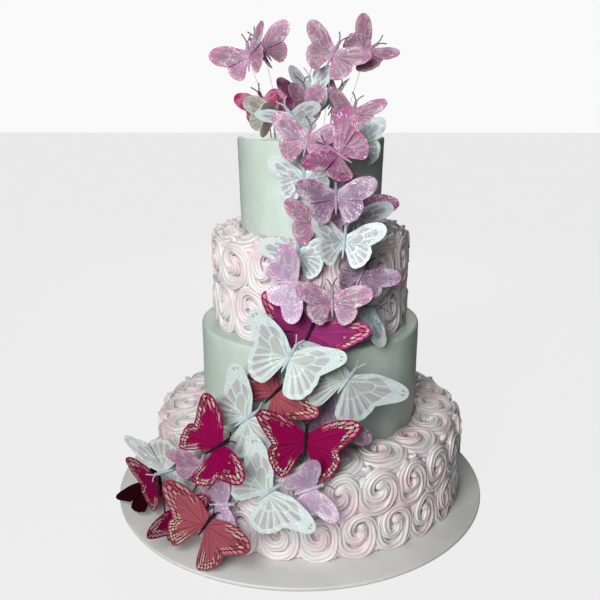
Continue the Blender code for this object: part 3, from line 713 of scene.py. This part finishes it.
def spiral_rope(piece, rng, place, half_across, half_along, lift, start):
    """One rosette: a rope from a star tip, wound clockwise out from the middle."""
    turns = rng.uniform(1.85, 2.15)
    t = np.linspace(0, 1, ROPE_STATIONS)
    angle = start + 2 * math.pi * turns * (1 - t)
    swing = rng.uniform(-0.07, 0.07)
    outermost = [half_across * ROPE_REACH * (1 + swing) - ROPE, half_along * ROPE_REACH * (1 - swing) - ROPE]
    out_by = np.sin(t * math.pi / 2) ** 1.15
    reach = [ROPE_START + (most - ROPE_START) * out_by for most in outermost]
    squarer = 1 + ROPE_SQUARER * t * np.abs(np.sin(2 * angle))
    centre = np.stack([reach[0] * np.cos(angle), reach[1] * np.sin(angle)]) * squarer
    centre[1] += ROPE_MIDDLE_UP * half_along * (1 - t)
    size = ROPE * np.interp(t, [0, 0.25, 0.45, 0.94, 1], [0.5, 0.8, 1, 1, 0.5]) * rng.uniform(0.96, 1.05)
    pulses = 1 + 0.05 * np.sin(t * rng.uniform(20, 30) + rng.uniform(0, 6))
    size = size * pulses * (1 - 0.16 * t * np.sin(angle))
    middle_rise = 1.6 * MM * (1 - t) ** 2
    end_drop = 3 * MM * np.clip((t - 0.88) / 0.12, 0, 1) ** 2
    height = lift - size * ROPE_SUNK + middle_rise - end_drop
    ahead = np.gradient(centre, axis=1)
    side = np.stack([-ahead[1], ahead[0]]) / np.hypot(*ahead)
    around, ridge = star_tip(9, rng.uniform(0, 6) - rng.uniform(1.3, 1.9) * turns * t)
    out = size[:, None] * (1 - GROOVE_DEPTH * (1 - ridge ** 0.8))
    across = centre[0][:, None] + side[0][:, None] * out * np.cos(around)
    along = centre[1][:, None] + side[1][:, None] * out * np.cos(around)
    up = height[:, None] + out * np.sin(around)
    points = place(across, along, up)
    piece.grid(unevened(points, ROPE_UNEVENNESS), {"crest": ridge}, wrap=True, caps=True)


def unevened(points, most):
    """The points pushed about a little, alike for neighbours, as soft icing settles."""
    flat = points.reshape(-1, 3)
    push = np.array([noise.noise_vector(Vector(p) * 75) for p in flat])
    return (flat + push * most).reshape(points.shape)


def dollop(piece, rng, place, size):
    """A small pointed star of icing that fills a corner between rosettes."""
    t = np.linspace(0, 1, 7)
    around, ridge = star_tip(6, rng.uniform(0, 6) + 0.9 * t)
    out = size * (1 - t[:, None] ** 1.3 * 0.93) * (1 - 0.24 * (1 - ridge))
    up = (size * 1.05 * t)[:, None] + 0 * around
    points = place(out * np.cos(around), out * np.sin(around), up)
    piece.grid(points, {"crest": ridge}, wrap=True, caps=True)


def round_cake(degrees, out, up):
    """Points at these angles from the front, this far out from the cake's axis, as an array."""
    angle = np.radians(degrees)
    return np.stack([CAKE_OFFSET_X + out * np.sin(angle), -out * np.cos(angle), up + 0 * angle], axis=-1)


def drum_profile(bottom, top, wall, next_radius):
    """The icing under the rosettes: up the wall, round its edge and in over the ledge."""
    wall_rows, ledge_rows = 20, 8
    out, foot, rise = wall + DRUM_STAND, 3 * MM, top - bottom - 7 * MM
    profile = [(wall - 4 * MM, bottom), (out, bottom + foot)]
    profile += [(out, bottom + rise * k / wall_rows + foot) for k in range(1, wall_rows + 1)]
    profile += [(wall + 4.5 * MM, top - 2.5 * MM), (wall + 3 * MM, top + 0.5 * MM)]
    profile += [(wall - 1 * MM, top + 2.8 * MM)]
    start, width = wall - 4 * MM, wall - next_radius - 6 * MM
    profile += [(start - width * k / ledge_rows, top + DRUM_STAND) for k in range(1, ledge_rows + 1)]
    return profile + [(next_radius - 4 * MM, top - GAP)]


def piped_rows(name, bottom, top, wall, next_radius, rosettes):
    """Two rows of rosettes on the wall and one on the ledge, over a drum of icing."""
    rng = random.Random(11)
    count, first, ledge_count, ledge_first = rosettes
    middle = bottom + ROW_SPLIT * (top - bottom)
    sway = CELL_SWAY * (top - bottom) / 2
    half_across = math.pi * wall / count
    made = []
    for row, row_name in enumerate(("lower", "upper")):
        wall_piece = Piece()
        low, high = ((bottom, middle), (middle, top - sway))[row]
        centre_up, half_up = (low + high) / 2 + row * 2.5 * MM, (high - low) / 2
        for k in range(count):
            centre = first + 360 * (k + row / 2) / count

            def on_wall(u, v, h, centre=centre, centre_up=centre_up, row=row):
                raised = np.maximum(centre_up + v, bottom)
                return round_cake(centre + np.degrees(u / wall), wall + h + row * 0.6 * MM, raised)

            lift = ROSETTE_LIFT * rng.uniform(0.94, 1.04)
            start = math.radians(rng.choice(STARTS))
            spiral_rope(wall_piece, rng, on_wall, half_across, half_up * TALLER[row], lift, start)
        made.append(wall_piece.make(f"{name}_{row_name}_row", [PIPED_ICING]))
    ledge_piece = Piece()
    inner, outer = next_radius + LEDGE_CLEARANCE, wall + LEDGE_OVERHANG
    half_out = (outer - inner) / 2
    centre_out = (outer + inner) / 2
    for k in range(ledge_count):
        centre = ledge_first + 360 * k / ledge_count

        def on_ledge(u, v, h, centre=centre):
            out = np.maximum(centre_out - v, next_radius + 0.5 * MM)
            over = np.clip((out - wall + 8 * MM) / (14 * MM), 0, 1)
            sag = 5 * MM * over * over * (3 - 2 * over)
            return round_cake(centre + np.degrees(u / centre_out), out, top + h - sag)

        lift = LEDGE_LIFT * rng.uniform(0.94, 1.04)
        start = math.radians(rng.choice(STARTS))
        half_round = math.pi * centre_out / ledge_count
        spiral_rope(ledge_piece, rng, on_ledge, half_round, half_out, lift, start)

        def in_corner(u, v, h, centre=centre + 180 / ledge_count):
            return round_cake(centre + np.degrees(u / wall), wall + h * 0.6, top - 3 * MM + v + h * 0.9)

        dollop(ledge_piece, rng, in_corner, rng.uniform(8, 10) * MM)
    corners = ((0, bottom + 4 * MM), (1, middle + 2 * MM), (0, middle + 4 * MM), (1, top - 7 * MM))
    for k in range(count):
        for row, up in corners:

            def between(u, v, h, centre=first + 360 * (k + 0.5 + row / 2) / count, up=up):
                raised = np.maximum(up + v, bottom)
                return round_cake(centre + np.degrees(u / wall), wall + 1 * MM + h, raised)

            dollop(ledge_piece, rng, between, rng.uniform(4.5, 6) * MM)
    revolve(ledge_piece, drum_profile(bottom, top, wall, next_radius), DRUM_UNEVENNESS)
    made.append(ledge_piece.make(name + "_ledge_row", [PIPED_ICING]))
    for row_made in made:
        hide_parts(name)


def smooth_line(points, count):
    """Evenly spaced points on a smooth curve through the given ones."""
    given = np.array(points, float)
    ends = np.vstack([2 * given[0] - given[1], given, 2 * given[-1] - given[-2]])
    dense = []
    for i in range(1, len(ends) - 2):
        p0, p1, p2, p3 = ends[i - 1], ends[i], ends[i + 1], ends[i + 2]
        square, cube = 2 * p0 - 5 * p1 + 4 * p2 - p3, 3 * p1 - p0 - 3 * p2 + p3
        for s in np.linspace(0, 1, 24, endpoint=False):
            dense.append(0.5 * (2 * p1 + (p2 - p0) * s + square * s ** 2 + cube * s ** 3))
    dense.append(given[-1])
    dense = np.array(dense)
    lengths = np.concatenate([[0], np.cumsum(np.linalg.norm(np.diff(dense, axis=0), axis=1))])
    even = np.linspace(0, lengths[-1], count)
    return np.stack([np.interp(even, lengths, dense[:, k]) for k in range(2)], axis=1)


def distance_to_line(points, line):
    """The distance from each point to a line of points, all flat."""
    a, b = line[:-1], line[1:]
    along = b - a
    offset = points[:, None] - a[None]
    t = np.clip((offset * along).sum(-1) / np.maximum((along ** 2).sum(-1), 1e-12), 0, 1)
    return np.linalg.norm(offset - t[..., None] * along, axis=-1).min(1)


def wing(piece, kind, half_span, lift, sweep, side, hind, pose, tone):
    """One wing: a thin closed sheet whose points fan out from its root to its margin."""
    outline = [swept(x, y, sweep) for x, y in WINGS[kind]]
    fine = kind != "small"
    if hind:
        notch = outline[NOTCH]
        line = [(notch[0] * 0.9, notch[1] + 0.12), *outline[NOTCH:]]
        root, veins = np.array((0.0, 0.05)), 6
    else:
        line = outline[:NOTCH + 1]
        root, veins = np.array((0.0, -0.03)), 5
    columns, rows = (veins * 8 if fine else veins * 4) + 1, 13 if fine else 8
    edge = smooth_line(line, columns)
    rays = edge - root
    bearings = np.unwrap(np.arctan2(rays[:, 1], rays[:, 0]))
    spread = abs(bearings[-1] - bearings[0])
    turn = (bearings[0] - bearings) / (bearings[0] - bearings[-1])
    if hind:
        scallop = 0.018 * np.abs(np.sin(math.pi * veins * turn)) * (turn > 0.12)
        edge = root + rays * (1 + scallop - 0.012)[:, None]
        rays = edge - root
    share = 1 - (1 - np.linspace(0.02, 1, rows)) ** 1.25
    flat = root + rays[None] * share[:, None, None]
    length = np.linalg.norm(rays, axis=1)
    reach = share[:, None] * length[None]
    rim_line = edge[3:] if hind else edge
    rim = distance_to_line(flat.reshape(-1, 2), rim_line).reshape(rows, columns) * half_span / MM
    x, y = flat[..., 0], flat[..., 1]
    fold = np.cos(2 * math.pi * veins * turn)[None] * np.minimum(1, share * 2)[:, None]
    z = TIP_CURL * x * x + fold * 0.006
    if hind:
        z = z - HINDWING_DROP * np.clip(reach / 0.35, 0, 1)
    tilt = np.array(Matrix.Rotation(-side * math.radians(lift), 3, "Y"))
    move = np.array(pose)
    numbers = {
        "turn": np.broadcast_to(turn, (rows, columns)),
        "arc": reach * spread * half_span / MM,
        "rim": rim,
        "far": np.hypot(x, y),
        "cross": (share[:, None] - CROSS_VEIN) * length[None] * half_span / MM,
        "hind": np.full((rows, columns), float(hind)),
        # each wing's tone number: partly its own tone, partly painted shade and painted light
        "tone": np.full((rows, columns), tone),
        "seed": np.full((rows, columns), float(hind) + side * 3.0 + tone * 7.0),
    }
    sheets = []
    for offset in (WING_HALF_THICKNESS, -WING_HALF_THICKNESS):
        local = np.stack([side * x, y, z], axis=-1) * half_span + np.array((0, 0, offset))
        sheets.append(local @ tilt.T @ move[:3, :3].T + move[:3, 3])
    top, under = sheets
    piece.grid(top, numbers, flip=side > 0)
    piece.grid(under, numbers, flip=side < 0)

    def border(values):
        return np.concatenate([values[-1], values[-2:0:-1, -1], values[0, ::-1], values[1:-1, 0]])

    strip = np.stack([border(top), border(under)])
    strip_numbers = {key: np.stack([border(np.asarray(v))] * 2) for key, v in numbers.items()}
    piece.grid(strip, strip_numbers, wrap=True, flip=side < 0)


def tube(piece, path, radii, sides, look):
    """A closed tube along a path of points."""
    path = [Vector(p) for p in path]
    rings = []
    normal = None
    for i, point in enumerate(path):
        ahead = path[min(i + 1, len(path) - 1)] - path[max(i - 1, 0)]
        ahead.normalize()
        normal = ahead.orthogonal() if normal is None else normal - ahead * normal.dot(ahead)
        normal.normalize()
        other = ahead.cross(normal)
        ring = []
        for k in range(sides):
            angle = 2 * math.pi * k / sides
            ring.append(point + (normal * math.cos(angle) + other * math.sin(angle)) * radii[i])
        rings.append(ring)
    piece.grid(np.array(rings), look=look, wrap=True, caps=True)


# A body's half thickness from tail to head, as (share of the length, share of the thickness)
BODY_PROFILE = [
    (0.0, 0.12), (0.03, 0.34), (0.1, 0.50), (0.2, 0.62), (0.3, 0.72), (0.4, 0.80), (0.5, 0.88),
    (0.56, 0.8), (0.62, 1.0), (0.7, 1.16), (0.78, 1.12), (0.83, 0.8), (0.87, 0.72), (0.91, 0.92),
    (0.96, 0.86), (0.99, 0.5), (1.0, 0.2),
]


def body(piece, kind, pose, rng, curl):
    """A body in rings from tail to head, banded along its tail, and its two antennae."""
    length, thickness = BODIES[kind]
    share = np.linspace(0, 1, BODY_STATIONS)
    half = np.interp(share, [p[0] for p in BODY_PROFILE], [p[1] for p in BODY_PROFILE]) * thickness
    waves = np.cos(share * 2 * math.pi * BANDS)
    half = half * (1 + np.where((share > 0.04) & (share < TAIL_END), 0.07 * waves, 0))
    shown = np.where(share < TAIL_END, 0.5 + 0.5 * waves, 0.3)
    points = np.zeros((BODY_STATIONS, BODY_SIDES, 3))
    for i in range(BODY_STATIONS):
        for k in range(BODY_SIDES):
            angle = 2 * math.pi * k / BODY_SIDES
            across, up = half[i] * math.cos(angle), half[i] * math.sin(angle)
            points[i, k] = pose @ Vector((across, (share[i] - 0.5) * length, up))
    bands = np.repeat(shown[:, None], BODY_SIDES, axis=1)
    piece.grid(points, {"bands": bands}, look=1, wrap=True, caps=True)
    for side in (-1, 1):
        spread = rng.uniform(0.35, 0.5)
        long = rng.uniform(8, 9.5) * MM
        path = []
        for s in np.linspace(0, 1, len(ANTENNA_RADII)):
            bend = spread + curl * s * s
            across = side * (0.5 * MM + long * s * math.sin(bend))
            ahead = length * 0.48 + long * s * math.cos(bend)
            path.append(pose @ Vector((across, ahead, 1.0 * MM + long * 0.25 * s * s)))
        tube(piece, path, ANTENNA_RADII, 6, 2)


def pick(piece, name, kind, pose, trees):
    """The pick from a body to just inside the icing, or down into the top tier."""
    length = BODIES[kind][0]
    start = pose @ Vector((0, -length * PICK_PLACE, 0))
    inwards = around_cake(0, 0, start.z) - start
    if name.startswith("crown"):
        inwards = Vector((inwards.x * CROWN_LEAN, inwards.y * CROWN_LEAN, -CROWN_DROP))
    inwards.normalize()
    hits = [tree.ray_cast(start, inwards)[3] for tree in trees]
    reach = min((h for h in hits if h is not None), default=LONGEST_PICK)
    tube(piece, [start, start + inwards * (reach + 2 * MM)], PICK_RADII, 8, 1)


def surface_of(node):
    """A tree of the node's faces, for finding where a line meets it."""
    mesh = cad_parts[node].data
    return BVHTree.FromPolygons([v.co for v in mesh.vertices], [tuple(p.vertices) for p in mesh.polygons])


def butterflies(trees):
    """One piece for each colour of each kind, with all its butterflies."""
    groups = {}
    for name, row in CASCADE.items():
        groups.setdefault((row[0], row[1]), []).append(name)
    for (kind, colour), names in groups.items():
        piece = Piece()
        for name in names:
            left, right, span = CASCADE[name][8:]
            rng = random.Random(name)
            pose = pose_of(name)
            half_span = span * MM / 2
            sweep_left, sweep_right = SWEEPS.get(name, (0, 0))
            for side, lift, sweep in ((-1, left, sweep_left), (1, right, sweep_right)):
                for hind in (False, True):
                    # the tone number scales the wing colours: partly own tone, partly painted shade and
                    # painted light
                    wing(piece, kind, half_span, lift, sweep, side, hind, pose, TONES_AND_PAINTED_SHADE.get(name, 1.0))
            body(piece, kind, pose, rng, rng.uniform(0, 0.3))
            if not name.startswith("flying"):
                pick(piece, name, kind, pose, trees)
        if kind == "large":
            wings = large_wing_look()
        elif kind == "feather":
            wings = feather_wing_look(colour)
        else:
            wings = sheer_wing_look(colour)
        dark, light = BODY_COLOURS[colour if kind == "small" else kind]
        antennae = (shaded(dark, 0.3), shaded(dark, 0.45))
        if kind == "large" or colour == "white":
            antennae = PALE_ANTENNAE
        trim = body_look(f"body_{kind}_{colour}", dark, light)
        thin = body_look(f"antennae_{kind}_{colour}", *antennae)
        made = piece.make(f"{kind}_{colour}_butterflies", [wings, trim, thin], crease=50)
        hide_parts(*names)


def wires():
    """The wires from the top tier to the butterflies above it."""
    piece = Piece()
    names = [name for name in CASCADE if name.startswith("flying")]
    for name in names:
        kind, _, around, out = CASCADE[name][:4]
        top = pose_of(name) @ Vector((0, 0, -BODIES[kind][1] * 0.6))
        foot = around_cake(around, out * MM * WIRE_FOOT_SPREAD, TIER_TOPS[3] - 1 * MM)
        path = [foot + (top - foot) * s for s in np.linspace(0, 1, WIRE_POINTS)]
        tube(piece, path, [WIRE_RADIUS] * WIRE_POINTS, 8, 0)
    made = piece.make("wires", [wire_look()])
    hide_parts(*["wire_" + name for name in names])


def board():
    """The round board, with a rounded edge."""
    piece = Piece()
    edge_rows, top_rings = 6, 8
    half = BOARD_THICKNESS / 2
    profile = [(BOARD_RADIUS - 0.8 * MM, 0)]
    for k in range(edge_rows + 1):
        angle = math.pi * (k / edge_rows - 0.5)
        out = BOARD_RADIUS - BOARD_EDGE + BOARD_EDGE * math.cos(angle)
        profile.append((out, half + half * math.sin(angle)))
    for k in range(1, top_rings + 1):
        profile.append((BOARD_RADIUS * (1 - k / (top_rings + 0.2)), BOARD_THICKNESS))
    revolve(piece, profile, 0, centre=0)
    made = piece.make("round_board", [board_look()])
    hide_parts("cake_board")


def studio():
    """The camera, the lights, a backdrop that lights less than it shows, and the floor."""
    scene = bpy.context.scene
    camera = bpy.data.objects.new("camera", bpy.data.cameras.new("camera"))
    camera.location = CAMERA_PLACE
    camera.rotation_euler = (math.radians(90 - CAMERA_DOWN), 0, math.radians(CAMERA_LEVEL))
    camera.data.lens = CAMERA_LENS
    camera.data.sensor_width = 36
    camera.data.clip_start = 0.01
    scene.collection.objects.link(camera)
    scene.camera = camera
    scene.view_settings.view_transform = "Standard"
    world = bpy.data.worlds.new("studio")
    scene.world = world
    world.use_nodes = True
    tree = world.node_tree
    ambient = tree.nodes["Background"]
    ambient.inputs["Color"].default_value = (1, 1, 1, 1)
    ambient.inputs["Strength"].default_value = AMBIENT
    backdrop = tree.nodes.new("ShaderNodeBackground")
    backdrop.inputs["Color"].default_value = BACKDROP
    rays = tree.nodes.new("ShaderNodeLightPath")
    both = tree.nodes.new("ShaderNodeMixShader")
    tree.links.new(rays.outputs["Is Camera Ray"], both.inputs[0])
    tree.links.new(ambient.outputs[0], both.inputs[1])
    tree.links.new(backdrop.outputs[0], both.inputs[2])
    tree.links.new(both.outputs[0], tree.nodes["World Output"].inputs["Surface"])
    for name, kind, place, size, power in LIGHTS:
        light = bpy.data.objects.new(name, bpy.data.lights.new(name, kind))
        if kind == "SUN":
            light.data.angle = size
        else:
            light.data.size = size
        light.data.energy = power
        light.location = place
        aim = LIGHTS_AIM - Vector(place)
        light.rotation_euler = aim.to_track_quat("-Z", "Y").to_euler()
        scene.collection.objects.link(light)
    mesh = bpy.data.meshes.new("floor")
    corners = [(x * FLOOR_HALF, y * FLOOR_HALF, 0) for x, y in ((-1, -1), (1, -1), (1, 1), (-1, 1))]
    mesh.from_pydata(corners, [], [(0, 1, 2, 3)])
    mesh.materials.append(floor_look())
    floor = bpy.data.objects.new("floor", mesh)
    floor.location.z = -FLOOR_DROP
    scene.collection.objects.link(floor)


SMOOTH_ICING = smooth_icing_look()
PIPED_ICING = piped_icing_look()

studio()
board()
first_top, second_top, third_top, fourth_top = TIER_TOPS
board_top = BOARD_THICKNESS + GAP
piped_rows("tier_1_rosettes", board_top, first_top, WIDE_PIPED_WALL, WIDE_SMOOTH_RADIUS, WIDE_ROSETTES)
smooth_tier("tier_2_smooth", first_top + GAP, second_top, WIDE_SMOOTH_RADIUS, 0)
second_ledge = second_top + GAP
piped_rows("tier_3_rosettes", second_ledge, third_top, SMALL_PIPED_WALL, TOP_SMOOTH_RADIUS, SMALL_ROSETTES)
smooth_tier("tier_4_smooth", third_top + GAP, fourth_top, TOP_SMOOTH_RADIUS, TOP_TIER_TAPER)
icing = [surface_of(name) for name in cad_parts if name.startswith("tier")]
butterflies(icing)
wires()
